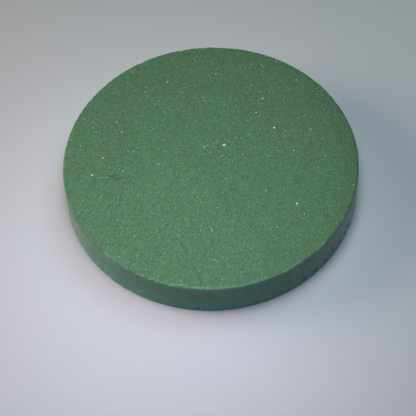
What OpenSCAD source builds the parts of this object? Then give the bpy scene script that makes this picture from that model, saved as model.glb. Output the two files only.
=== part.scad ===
// Round floral foam disc, cut in one piece from rigid open-cell foam.
// It lies flat. The origin is the centre of its base, with +Z up through the disc.

/* [Disc] */
// Diameter across the straight wall
disc_d = 180; // [60:1:400]
// Height from the base to the top face
disc_t = 25; // [10:0.5:80]

/* [Edges] */
// Radius that handling has worn along the top edge
top_edge_r = 0.8; // [0.2:0.1:4]
// Radius worn along the base edge
base_edge_r = 0.5; // [0.2:0.1:4]

/* [Hidden] */

// Fine enough for the wall and for both worn edges
$fn = 128;

disc_r = disc_d / 2;
// The straight wall, which a round dish or a ring meets
wall_h = disc_t - top_edge_r - base_edge_r;

// Half of the disc's section, from the axis out to the wall
module half_section() {
    translate([0, base_edge_r]) square([disc_r, wall_h]);

    // The slice above the wall, with its worn corner
    translate([0, disc_t - top_edge_r]) square([disc_r - top_edge_r, top_edge_r]);
    translate([disc_r - top_edge_r, disc_t - top_edge_r]) circle(r = top_edge_r);

    // The slice below the wall, with its worn corner
    square([disc_r - base_edge_r, base_edge_r]);
    translate([disc_r - base_edge_r, base_edge_r]) circle(r = base_edge_r);
}

module foam_disc() {
    color("seagreen") rotate_extrude() half_section();
}

foam_disc();
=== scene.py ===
"""Looks of a round floral foam disc: sawn grain, a crumbled edge with a painted highlight at its front, a
cut wall and broken cells painted near white as glints.
"""
import math

import bmesh
import bpy
import numpy as np
from mathutils import Matrix, Vector, noise
from mathutils.geometry import delaunay_2d_cdt


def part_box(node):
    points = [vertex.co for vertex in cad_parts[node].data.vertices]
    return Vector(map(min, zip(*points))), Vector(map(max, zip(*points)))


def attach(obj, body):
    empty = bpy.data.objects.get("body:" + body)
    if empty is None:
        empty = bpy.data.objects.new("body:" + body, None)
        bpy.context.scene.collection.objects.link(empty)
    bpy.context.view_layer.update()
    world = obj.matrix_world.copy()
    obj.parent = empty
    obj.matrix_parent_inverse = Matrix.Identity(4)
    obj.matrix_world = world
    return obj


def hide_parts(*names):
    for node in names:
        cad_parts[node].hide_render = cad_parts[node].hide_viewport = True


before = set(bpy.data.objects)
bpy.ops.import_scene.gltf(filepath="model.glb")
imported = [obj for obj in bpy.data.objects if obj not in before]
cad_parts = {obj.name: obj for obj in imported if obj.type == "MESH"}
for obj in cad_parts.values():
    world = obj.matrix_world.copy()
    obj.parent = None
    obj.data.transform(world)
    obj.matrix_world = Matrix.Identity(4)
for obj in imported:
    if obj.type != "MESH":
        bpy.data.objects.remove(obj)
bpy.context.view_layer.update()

MM = 0.001
low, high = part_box("foam_disc")
RADIUS = high.x
THICKNESS = high.z
TOP_CENTRE = Vector((0, 0, THICKNESS))

# The worn edges, as in the CAD model
TOP_EDGE_R = 0.8 * MM
BASE_EDGE_R = 0.5 * MM

# Distance between neighbouring corners of the mesh
TOP_PITCH = 0.78 * MM
MARK_PITCH = 0.32 * MM     # around the press marks
BASE_PITCH = 1.35 * MM
RIM_PITCH = 0.62 * MM      # along the rim
WALL_PITCH = 1.6 * MM      # down the wall
JITTER = 0.32              # share of the pitch that a corner strays from its row
TOP_EDGE_ROWS = 5          # rows of faces over each edge's curve
BASE_EDGE_ROWS = 3


# ---------------------------------------------------------------- camera

CAMERA_PITCH = math.radians(56.4)    # how far the lens looks down
CAMERA_ROLL = math.radians(-2.9)     # how far the camera leans
CAMERA_DISTANCE = 955 * MM           # from the lens to the top face, along its line of sight
CAMERA_AIM = Vector((-2.9 * MM, -33.6 * MM, 0))   # where that line meets the top face, from its centre
CAMERA_LENS = 138.5                  # millimetres, on a 36 mm sensor


def make_camera():
    """A long lens in front of the disc and above it."""
    camera = bpy.data.objects.new("camera", bpy.data.cameras.new("camera"))
    bpy.context.collection.objects.link(camera)
    camera.data.sensor_width = 36
    camera.data.lens = CAMERA_LENS
    turn = Matrix.Rotation(math.pi / 2 - CAMERA_PITCH, 4, "X") @ Matrix.Rotation(CAMERA_ROLL, 4, "Z")
    back = turn.to_3x3() @ Vector((0, 0, 1))
    camera.matrix_world = Matrix.Translation(TOP_CENTRE + CAMERA_AIM + back * CAMERA_DISTANCE) @ turn
    bpy.context.scene.camera = camera


# ---------------------------------------------------------------- foam mesh

def smooth_noise(points, size, seed):
    """Noise from about -1 to 1 at each point, with features of that size."""
    shift = Vector((seed * 17.3, seed * 7.9, seed * 3.1))
    return np.array([noise.noise(Vector(p) / size + shift) for p in points])


def scattered_points(radius, pitch, rng):
    """Points about a pitch apart all over a disc, in uneven rows, and clear of its rim."""
    row_gap = pitch * math.sqrt(3) / 2
    rows = np.arange(-math.ceil(radius / row_gap), math.ceil(radius / row_gap) + 1)
    columns = np.arange(-math.ceil(radius / pitch) - 1, math.ceil(radius / pitch) + 1)
    x = (columns[None, :] + 0.5 * (rows[:, None] % 2)) * pitch
    y = np.repeat(rows[:, None] * row_gap, len(columns), axis=1)
    points = np.stack([x.ravel(), y.ravel()], axis=1)
    points += rng.uniform(-JITTER, JITTER, points.shape) * pitch
    return points[np.hypot(*points.T) < radius - 0.6 * pitch]


def triangulate(points):
    """Triangles between flat points, all facing up, as rows of three indices."""
    flat = [Vector(p) for p in (points / MM).tolist()]
    _, _, faces, origins, _, _ = delaunay_2d_cdt(flat, [], [], 0, 1e-6)
    order = np.array([o[0] for o in origins])
    faces = order[np.array(faces)]
    a, b, c = (points[faces[:, i]] for i in range(3))
    u, v = b - a, c - a
    faces_down = u[:, 0] * v[:, 1] - u[:, 1] * v[:, 0] < 0
    faces[faces_down] = faces[faces_down][:, ::-1]
    return faces


def side_profile():
    """Radius and height of each ring of the side, from the top face's rim down to the base's rim."""
    top = [(RADIUS - TOP_EDGE_R * (1 - math.sin(a)), THICKNESS - TOP_EDGE_R * (1 - math.cos(a)))
           for a in np.linspace(0, math.pi / 2, TOP_EDGE_ROWS + 1)]
    base = [(RADIUS - BASE_EDGE_R * (1 - math.cos(a)), BASE_EDGE_R * (1 - math.sin(a)))
            for a in np.linspace(0, math.pi / 2, BASE_EDGE_ROWS + 1)]
    wall_top, wall_base = top[-1][1], base[0][1]
    rows = round((wall_top - wall_base) / WALL_PITCH)
    wall = [(RADIUS, z) for z in np.linspace(wall_top, wall_base, rows + 1)[1:-1]]
    return top + wall + base


def ring(radius, height, angles):
    """A ring of points at those angles."""
    heights = np.full_like(angles, height)
    return np.stack([radius * np.cos(angles), radius * np.sin(angles), heights], axis=1)


class Stroke:
    """A short mark pressed into the top face: a path from the disc's centre in millimetres, its depth
    (less than 0 for a raised lip), its half width, and how much paler its cells are painted, as a
    highlight on a lip (less than 0 where they are painted darker, as shade in a dent)."""

    def __init__(self, path, depth, width, wear_and_painted_light):
        self.path = np.array(path) * MM
        self.depth = depth * MM
        self.width = width * MM
        self.wear_and_painted_light = wear_and_painted_light

    def distance(self, points):
        """Distance of flat points from the path."""
        nearest = np.full(len(points), np.inf)
        for start, end in zip(self.path[:-1], self.path[1:]):
            along = end - start
            share = np.clip(((points - start) @ along) / (along @ along), 0, 1)
            away = np.linalg.norm(points - start - share[:, None] * along, axis=1)
            nearest = np.minimum(nearest, away)
        return nearest


# Press marks near the left of the rim, as of a fingernail: a long lip painted pale as a highlight, then
# dents painted dark as shade and a few short lips painted pale as highlights, in a ragged row. A scratch
# painted paler lies in front of them. Places are in millimetres from the centre.
LIP = [(-68, -8), (-63, -8)]
SCRATCH = [(-56, -21), (-57, -28)]
ROW_START = np.array([-63, -7])
ROW_END = np.array([-53, -9])
ROW_MARKS = 8
ROW_STRAY = 1                      # millimetres
ROW_TURN = math.radians(-40)       # the way that the marks in the row run
ROW_TWIST = 0.6                    # how far one turns from it, in radians
ROW_DENT = (0.45, 0.42, -0.7)      # depth, half width and how much paler it is painted (less than 0: painted shade in the dent), as a Stroke takes them
# a short lip, painted paler as a highlight
ROW_LIP = (-0.3, 0.42, 0.7)


def ragged_row():
    """Short strokes along the row, each strayed and turned a little. Every third one is a lip."""
    rng = np.random.default_rng(5)
    marks = []
    for i in range(ROW_MARKS):
        middle = ROW_START + (ROW_END - ROW_START) * (i + 0.5) / ROW_MARKS
        middle = middle + rng.uniform(-ROW_STRAY, ROW_STRAY, 2)
        turn = ROW_TURN + rng.uniform(-ROW_TWIST, ROW_TWIST)
        half = rng.uniform(0.6, 1.1) * np.array([math.cos(turn), math.sin(turn)])
        kind = ROW_LIP if i % 3 == 1 else ROW_DENT
        marks.append(Stroke([middle - half, middle + half], *kind))
    return marks


STROKES = [Stroke(LIP, -0.4, 0.45, 1.2), Stroke(SCRATCH, -0.3, 0.35, 1.2)] + ragged_row()
MARK_REACH = 2.2 * MM      # how far around a stroke the mesh is fine


def add_fine_points(points, rng):
    """The top face's points, with finer ones in place of those around the strokes."""
    for stroke in STROKES:
        points = points[stroke.distance(points) > MARK_REACH]
    paths = np.concatenate([stroke.path for stroke in STROKES])
    low_corner, high_corner = paths.min(0) - MARK_REACH, paths.max(0) + MARK_REACH
    counts = np.ceil((high_corner - low_corner) / MARK_PITCH).astype(int)
    x, y = np.meshgrid(*(low_corner[i] + np.arange(counts[i]) * MARK_PITCH for i in range(2)))
    fine = np.stack([x.ravel(), y.ravel()], axis=1)
    fine += rng.uniform(-JITTER, JITTER, fine.shape) * MARK_PITCH
    nearest = np.min([stroke.distance(fine) for stroke in STROKES], axis=0)
    return np.concatenate([points, fine[nearest < MARK_REACH - MARK_PITCH]])


def press_marks(points):
    """How far each flat point of the top face is pushed down by the strokes, and how much paler or darker
    they paint it: painted highlight on lips, painted shade in dents.
    """
    depth = np.zeros(len(points))
    wear_and_painted_light = np.zeros(len(points))
    for stroke in STROKES:
        mark = np.exp(-((stroke.distance(points) / stroke.width) ** 2))
        depth += stroke.depth * mark
        wear_and_painted_light += stroke.wear_and_painted_light * mark
    return depth, wear_and_painted_light


GRAIN = 0.11 * MM          # usual height of a grain of the sawn faces
PIT_SHARE = 0.07           # share of the grains that are broken cells
PIT_DEPTH = 0.32 * MM
WAVE = 0.10 * MM           # height of the slow waves that sawing leaves
WAVE_LENGTH = 35 * MM


def sawn(points, pitch, rng):
    """Depth of the sawn surface under its own plane, at flat points that far apart."""
    flat = np.column_stack([points, np.zeros(len(points))])
    share = pitch / TOP_PITCH
    grain = rng.normal(0, 1, len(points)).clip(-2, 2) * GRAIN * share
    pits = (rng.random(len(points)) < PIT_SHARE) * rng.uniform(0.3, 1, len(points)) * PIT_DEPTH * share
    waves = smooth_noise(flat, WAVE_LENGTH, 1) * WAVE
    return grain + pits + waves


CHIP_DEPTH = 0.8 * MM
CHIP_REACH = 0.9 * MM      # how far from the edge's corner the crumbling fades
BITE_SIZE = 5 * MM
CRUMB_SIZE = 1 * MM


def crumble(points):
    """Chips the top edge, moving points near it in and down by noise that has a few deep bites."""
    r = np.hypot(points[:, 0], points[:, 1])
    away = np.hypot(RADIUS - r, THICKNESS - points[:, 2])
    near = np.flatnonzero(away < 3 * CHIP_REACH)
    p = points[near]
    bites = np.clip(smooth_noise(p, BITE_SIZE, 2) - 0.12, 0, 1) * 1.5
    crumbs = np.clip(0.3 + smooth_noise(p, CRUMB_SIZE, 3), 0, 1)
    fade = np.exp(-((away[near] / CHIP_REACH) ** 2))
    push = CHIP_DEPTH * (0.05 + bites + 0.6 * crumbs) * fade
    inward = -p[:, :2] / r[near, None]
    points[near, :2] += inward * push[:, None] * 0.7
    points[near, 2] -= push * 0.7


HIGHLIGHT_SIDE = math.radians(-84)      # the side of the edge where the pale band, a painted highlight, is strongest
HIGHLIGHT_SPREAD = math.radians(44)
PALE_EDGE_REACH = 1.2 * MM              # how far from the edge's corner the pale band reaches
PALE_EDGE_DROP = 0.6                    # it reaches farther down: distance down the wall counts as this share
PALE_EDGE_PATCH = 8 * MM
PALE_EDGE_FLECK = 1.3 * MM
SHADE_SIDE = math.radians(15)    # the side of the top's rim darkened with painted shade
SHADE_SPREAD = math.radians(55)
SHADE_REACH = 9 * MM
SHADE_SHARE = 0.3


def edge_wear_and_painted_light(points):
    """How much paler each point around the top edge is painted: a painted highlight on the front of the
    edge, over a few torn patches elsewhere; less than 0 where painted shade darkens the rim at the right.
    """
    r = np.hypot(points[:, 0], points[:, 1])
    angle = np.arctan2(points[:, 1], points[:, 0])
    away = np.hypot(RADIUS - r, THICKNESS - points[:, 2])
    # Painted shade over the rim at the right
    right_rim_shade = ((angle - SHADE_SIDE) / SHADE_SPREAD) ** 2 + (away / SHADE_REACH) ** 2
    wear_and_painted_light = -SHADE_SHARE * np.exp(-right_rim_shade)

    near = np.flatnonzero(away < 3 * CHIP_REACH)
    p = points[near]
    # A painted highlight along the front of the edge, over a few torn patches elsewhere
    front_highlight = np.exp(-(((angle[near] - HIGHLIGHT_SIDE) / HIGHLIGHT_SPREAD) ** 2))
    mottle = smooth_noise(p, PALE_EDGE_PATCH, 4) + 1.5 * smooth_noise(p, PALE_EDGE_FLECK, 5)
    stretches = -0.12 + 1.1 * front_highlight + (0.3 + 0.6 * front_highlight) * mottle
    reach = np.hypot(RADIUS - r[near], (THICKNESS - p[:, 2]) * PALE_EDGE_DROP)
    wear_and_painted_light[near] += np.exp(-((reach / PALE_EDGE_REACH) ** 2)) * np.clip(stretches, -0.3, 1)
    return wear_and_painted_light


# The foam's flat bake map, in shares of its width: two round faces, and the side as two strips
MAP_TOP_D = 0.66
MAP_BASE_D = 0.32
MAP_STRIP_H = 0.15
MAP_GAP = 0.01


def bake_map(points, top_faces, base_faces, rows, count):
    """Place on the map of each corner of the top's faces, then of the base's, then of the side's quads,
    which come in that many rows and that many to a row."""
    flat = points[:, :2] / (2 * RADIUS)
    top = flat[top_faces.ravel()] * MAP_TOP_D + (MAP_GAP + MAP_TOP_D) / 2
    base_middle = np.array([1 - (MAP_GAP + MAP_BASE_D) / 2, (MAP_GAP + MAP_BASE_D) / 2])
    base = flat[base_faces.ravel()] * MAP_BASE_D * (-1, 1) + base_middle
    row, column = np.divmod(np.arange(rows * count), count)
    strip, column = np.divmod(column, count // 2)
    across = (column[:, None] + [0, 0, 1, 1]) / (count // 2)
    down = (row[:, None] + [0, 1, 1, 0]) / rows
    u = MAP_GAP / 2 + across * (1 - MAP_GAP)
    v = 1 - MAP_GAP / 2 - strip[:, None] * (MAP_STRIP_H + MAP_GAP) - down * MAP_STRIP_H
    return np.concatenate([top, base, np.stack([u.ravel(), v.ravel()], axis=1)])


def make_foam():
    """The whole disc as one closed mesh: two grained faces, a smooth wall and a crumbled top edge."""
    rng = np.random.default_rng(7)
    profile = side_profile()
    count = round(2 * math.pi * RADIUS / RIM_PITCH)
    angles = np.linspace(0, 2 * math.pi, count, endpoint=False)

    side = np.concatenate([ring(r, z, angles) for r, z in profile])
    top_inner = add_fine_points(scattered_points(profile[0][0], TOP_PITCH, rng), rng)
    base_inner = scattered_points(profile[-1][0], BASE_PITCH, rng)
    first_top = len(side)
    first_base = first_top + len(top_inner)
    last_ring = (len(profile) - 1) * count

    top_faces = triangulate(np.concatenate([side[:count, :2], top_inner]))
    top_faces = np.where(top_faces < count, top_faces, top_faces - count + first_top)
    base_faces = triangulate(np.concatenate([side[last_ring:, :2], base_inner]))[:, ::-1]
    base_faces = np.where(base_faces < count, base_faces + last_ring, base_faces - count + first_base)
    here = np.arange(count)
    beside = (here + 1) % count
    quads = np.concatenate([
        np.stack([here, here + count, beside + count, beside], axis=1) + row * count
        for row in range(len(profile) - 1)
    ])

    mark_depth, mark_wear_and_painted_light = press_marks(top_inner)
    top_depth = sawn(top_inner, TOP_PITCH, rng) + mark_depth
    base_depth = np.abs(sawn(base_inner, TOP_PITCH, rng))
    points = np.concatenate([
        side,
        np.column_stack([top_inner, THICKNESS - top_depth]),
        np.column_stack([base_inner, base_depth]),
    ])
    places = bake_map(points, top_faces, base_faces, len(profile) - 1, count)
    wear_and_painted_light = edge_wear_and_painted_light(points)
    wear_and_painted_light[first_top:first_base] += mark_wear_and_painted_light
    crumble(points)

    mesh = bpy.data.meshes.new("foam")
    faces = top_faces.tolist() + base_faces.tolist() + quads.tolist()
    mesh.from_pydata(points.tolist(), [], faces)
    mesh.attributes.new("wear_and_painted_light", "FLOAT", "POINT").data.foreach_set("value", wear_and_painted_light.astype(np.float32))
    mesh.uv_layers.new(name="OFBake").uv.foreach_set("vector", places.astype(np.float32).ravel())
    first_on_wall = len(top_faces) + len(base_faces) + TOP_EDGE_ROWS * count
    on_wall = np.arange(len(mesh.polygons)) >= first_on_wall
    mesh.polygons.foreach_set("material_index", on_wall.astype(np.int32))
    mesh.polygons.foreach_set("use_smooth", on_wall)
    mesh.materials.append(sawn_material())
    mesh.materials.append(wall_material())
    mesh.validate()
    foam = bpy.data.objects.new("foam", mesh)
    bpy.context.collection.objects.link(foam)
    return foam


# ---------------------------------------------------------------- flakes

# Each kind of flake: how many, then in millimetres the least radius, how much larger one usually is, and
# the largest radius
BRIGHT_FLAKES = (30, 0.34, 0.115, 0.80)
DULL_FLAKES = (900, 0.13, 0.05, 0.30)


def scattered_flakes(kind, rng):
    """Place and radius of each flake of that kind, anywhere on the top face."""
    count, least, larger, largest = kind
    places = []
    for _ in range(count):
        r = (RADIUS - 2 * TOP_EDGE_R) * math.sqrt(rng.random())
        a = rng.uniform(0, 2 * math.pi)
        size = min(least + larger * rng.exponential(), largest) * MM
        places.append((r * math.cos(a), r * math.sin(a), size))
    return places


def add_flake(bm, centre, size, rng):
    """One closed chip: an uneven outline just over the face, a low peak and a foot sunk into the foam."""
    corners = int(rng.integers(5, 9))
    turn = rng.uniform(0, 2 * math.pi)
    outline = []
    for a in (turn + 2 * math.pi * i / corners for i in range(corners)):
        reach = Vector((math.cos(a), math.sin(a), 0)) * rng.uniform(0.7, 1.25)
        rise = Vector((0, 0, rng.uniform(0, 0.3)))
        outline.append(bm.verts.new(centre + (reach + rise) * size))
    peak = bm.verts.new(centre + Vector((rng.uniform(-0.3, 0.3), rng.uniform(-0.3, 0.3), 0.5)) * size)
    foot = bm.verts.new(centre - Vector((0, 0, 0.9 * size)))
    for i in range(corners):
        a, b = outline[i], outline[(i + 1) % corners]
        bm.faces.new((a, b, peak))
        bm.faces.new((b, a, foot))


def make_flakes():
    """Broken cell walls that stand out of the sawn top face, coloured near white as painted glints."""
    rng = np.random.default_rng(11)
    bm = bmesh.new()
    for x, y, size in scattered_flakes(BRIGHT_FLAKES, rng) + scattered_flakes(DULL_FLAKES, rng):
        add_flake(bm, Vector((x, y, THICKNESS)), size, rng)
    mesh = bpy.data.meshes.new("painted_glint_cells")
    bm.to_mesh(mesh)
    bm.free()
    mesh.materials.append(flake_material())
    flakes = bpy.data.objects.new("painted_glint_cells", mesh)
    bpy.context.collection.objects.link(flakes)
    return flakes


# ---------------------------------------------------------------- materials

class Nodes:
    """A new material's node tree, with short calls to add and join nodes."""

    def __init__(self, name):
        self.material = bpy.data.materials.new(name)
        self.material.use_nodes = True
        self.tree = self.material.node_tree
        self.shader = self.tree.nodes["Principled BSDF"]
        self.place = self.tree.nodes.new("ShaderNodeTexCoord").outputs["Object"]

    def add(self, kind, inputs, **settings):
        """A node of that kind. Each input is a number, a colour, or another node's output."""
        node = self.tree.nodes.new("ShaderNode" + kind)
        for name, value in settings.items():
            setattr(node, name, value)
        for name, value in inputs.items():
            if isinstance(value, bpy.types.NodeSocket):
                self.tree.links.new(value, node.inputs[name])
            else:
                node.inputs[name].default_value = value
        return node

    def noise(self, size, detail=2.0, roughness=0.5):
        """Noise with features of that size in metres, from 0 to 1."""
        return self.add("TexNoise", {"Vector": self.place, "Scale": 1 / size, "Detail": detail,
                                     "Roughness": roughness}).outputs["Fac"]

    def cells(self, size):
        """Cells of that size in metres: a random value for each, and the distance from its centre."""
        node = self.add("TexVoronoi", {"Vector": self.place, "Scale": 1 / size})
        parts = self.add("SeparateColor", {"Color": node.outputs["Color"]})
        return parts.outputs[0], node.outputs["Distance"]

    def spread(self, value, low, high, to_low=0.0, to_high=1.0):
        """Value taken from the range low to high into another range, and kept inside it."""
        return self.add("MapRange", {"Value": value, "From Min": low, "From Max": high,
                                     "To Min": to_low, "To Max": to_high}).outputs["Result"]

    def mix(self, share, a, b, blend="MIX"):
        """Colour a where share is 0 and b where it is 1."""
        node = self.add("Mix", {}, data_type="RGBA", blend_type=blend)
        for index, value in ((0, share), (6, a), (7, b)):
            if isinstance(value, bpy.types.NodeSocket):
                self.tree.links.new(value, node.inputs[index])
            else:
                node.inputs[index].default_value = value
        return node.outputs[2]

    def shade(self, colour, *shares):
        """That colour, made lighter or darker by each share in turn."""
        for share in shares:
            grey = self.add("CombineColor", {0: share, 1: share, 2: share}).outputs[0]
            colour = self.mix(1.0, colour, grey, "MULTIPLY")
        return colour

    def set(self, name, value):
        """Gives that input of the shader a number, a colour, or another node's output."""
        if isinstance(value, bpy.types.NodeSocket):
            self.tree.links.new(value, self.shader.inputs[name])
        else:
            self.shader.inputs[name].default_value = value

    def bump(self, height, depth):
        """Fine relief of that depth in metres."""
        node = self.add("Bump", {"Height": height, "Strength": 1.0, "Distance": depth})
        self.set("Normal", node.outputs["Normal"])


GREEN = (0.066, 0.193, 0.088, 1)
ROSY = (0.098, 0.177, 0.097, 1)
OLIVE = (0.106, 0.192, 0.069, 1)
TEAL = (0.053, 0.183, 0.110, 1)
# pale torn cells, and the painted highlight on the front of the edge and on the lips
TORN_AND_HIGHLIGHT_GREEN = (0.155, 0.325, 0.205, 1)
# painted shade: in the dents, and on the rim at the right
PAINTED_SHADE_GREEN = (0.030, 0.100, 0.050, 1)
# The wall's greens are darker and bluer than the top's, partly as painted shade
WALL_GREEN = (0.043, 0.198, 0.112, 1)
WALL_DARK = (0.046, 0.145, 0.097, 1)
WALL_GREY = (0.078, 0.158, 0.110, 1)
# painted light bounced up from the counter onto the wall's foot
WALL_FOOT_BOUNCE = (0.074, 0.255, 0.190, 1)
BOUNCE_HEIGHT = 14 * MM      # the wall turns to its painted bounce colour from there down
# near white: painted glints on the broken cell walls
FLAKE_GLINT_PALE = (0.80, 0.90, 0.80, 1)
FLAKE_GLINT_WARM = (0.90, 0.95, 0.85, 1)
COUNTER = (0.605, 0.588, 0.63, 1)


def tint_by_wear_and_light(n, hue):
    """That colour, paler where the attribute paints torn cells and highlight, and darker where it paints
    shade.
    """
    tint_share = n.add("Attribute", {}, attribute_name="wear_and_painted_light").outputs["Fac"]
    hue = n.mix(n.spread(tint_share, 0, 1), hue, TORN_AND_HIGHLIGHT_GREEN)
    return n.mix(n.spread(tint_share, 0, -1), hue, PAINTED_SHADE_GREEN)


def sawn_material():
    """Coarse grain and open pores, in patches of slightly different green."""
    n = Nodes("sawn_foam")
    hue = n.mix(n.spread(n.noise(1.8 * MM), 0.3, 0.7), OLIVE, TEAL)
    patch = n.mix(n.spread(n.noise(4 * MM), 0.38, 0.62), ROSY, GREEN)
    hue = tint_by_wear_and_light(n, n.mix(0.5, hue, patch))
    grain = n.spread(n.cells(0.62 * MM)[0], 0, 1, 0.71, 1.29)
    cluster = n.spread(n.noise(2.0 * MM, 3.0), 0.3, 0.7, 0.88, 1.12)
    pore = n.cells(0.30 * MM)[1]
    n.set("Base Color", n.shade(hue, grain, cluster, n.spread(pore, 0, 0.7, 0.76, 1.16)))
    n.set("Roughness", n.spread(n.noise(1.2 * MM), 0.3, 0.7, 0.62, 0.9))
    n.bump(pore, 0.12 * MM)
    return n.material


def wall_material():
    """The cut wall: finer and smoother than the sawn faces, its darker and bluer green partly painted
    shade.
    """
    n = Nodes("cut_wall_foam")
    hue = n.mix(n.spread(n.noise(6 * MM), 0.3, 0.7), WALL_GREEN, WALL_DARK)
    hue = n.mix(n.spread(n.noise(1.5 * MM), 0.45, 0.75), hue, WALL_GREY)
    # Paler and bluer towards the foot: painted light bounced from the counter
    height = n.add("SeparateXYZ", {"Vector": n.place}).outputs["Z"]
    hue = tint_by_wear_and_light(n, n.mix(n.spread(height, BOUNCE_HEIGHT, 0), hue, WALL_FOOT_BOUNCE))
    grain = n.spread(n.cells(0.8 * MM)[0], 0, 1, 0.82, 1.18)
    pore = n.cells(0.25 * MM)[1]
    n.set("Base Color", n.shade(hue, grain, n.spread(pore, 0, 0.7, 0.85, 1.12)))
    n.set("Roughness", n.spread(n.noise(3 * MM), 0.3, 0.7, 0.24, 0.36))
    n.set("IOR", 1.38)
    n.bump(pore, 0.03 * MM)
    return n.material


def flake_material():
    """A near-white, shiny cell wall: its pale colour is a painted glint."""
    n = Nodes("painted_glint_cell")
    n.set("Base Color", n.mix(n.noise(1.0 * MM), FLAKE_GLINT_PALE, FLAKE_GLINT_WARM))
    n.set("Roughness", 0.25)
    return n.material


# ---------------------------------------------------------------- stage

FLOOR_SIDE = 8             # metres


def make_floor():
    """The plain pale counter."""
    bpy.ops.mesh.primitive_plane_add(size=FLOOR_SIDE)
    floor = bpy.context.object
    floor.name = "floor"
    n = Nodes("pale_counter")
    n.set("Base Color", COUNTER)
    n.set("Roughness", 0.6)
    floor.data.materials.append(n.material)


def area_light(name, place, size, power, colour, aim=TOP_CENTRE, spread=180):
    """A square soft light at that place in metres, facing the aim. Its power is in watts, and spread is
    the angle of its beam in degrees."""
    light = bpy.data.objects.new(name, bpy.data.lights.new(name, "AREA"))
    bpy.context.collection.objects.link(light)
    light.data.size = size
    light.data.energy = power
    light.data.color = colour
    light.data.spread = math.radians(spread)
    light.location = place
    light.rotation_euler = (Vector(aim) - Vector(place)).to_track_quat("-Z", "Y").to_euler()
    light.visible_camera = False


def light_stage():
    """A warm low light at the left, a cool one behind at the right, a soft pool from overhead and a weak
    fill from the front."""
    scene = bpy.context.scene
    scene.view_settings.view_transform = "Standard"
    scene.world = bpy.data.worlds.new("dark_room")
    scene.world.color = (0, 0, 0)
    area_light("left_light", (-0.80, 0.20, 0.30), size=0.6, power=1.42,
               colour=(1.0, 0.833, 0.656), spread=70)
    area_light("back_light", (0.30, 0.30, 0.80), size=0.6, power=3.15,
               colour=(0.680, 0.950, 1.0))
    area_light("overhead_pool", (-0.04, -0.08, 0.50), size=0.2, power=0.155,
               colour=(0.860, 0.870, 1.0), aim=(-0.04, -0.08, 0), spread=50)
    area_light("front_fill", (-0.38, -0.86, 0.20), size=0.6, power=0.9,
               colour=(0.420, 0.800, 1.0))


make_camera()
foam = make_foam()
flakes = make_flakes()
for piece in (foam, flakes):
    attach(piece, "root")
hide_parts("foam_disc")
make_floor()
light_stage()
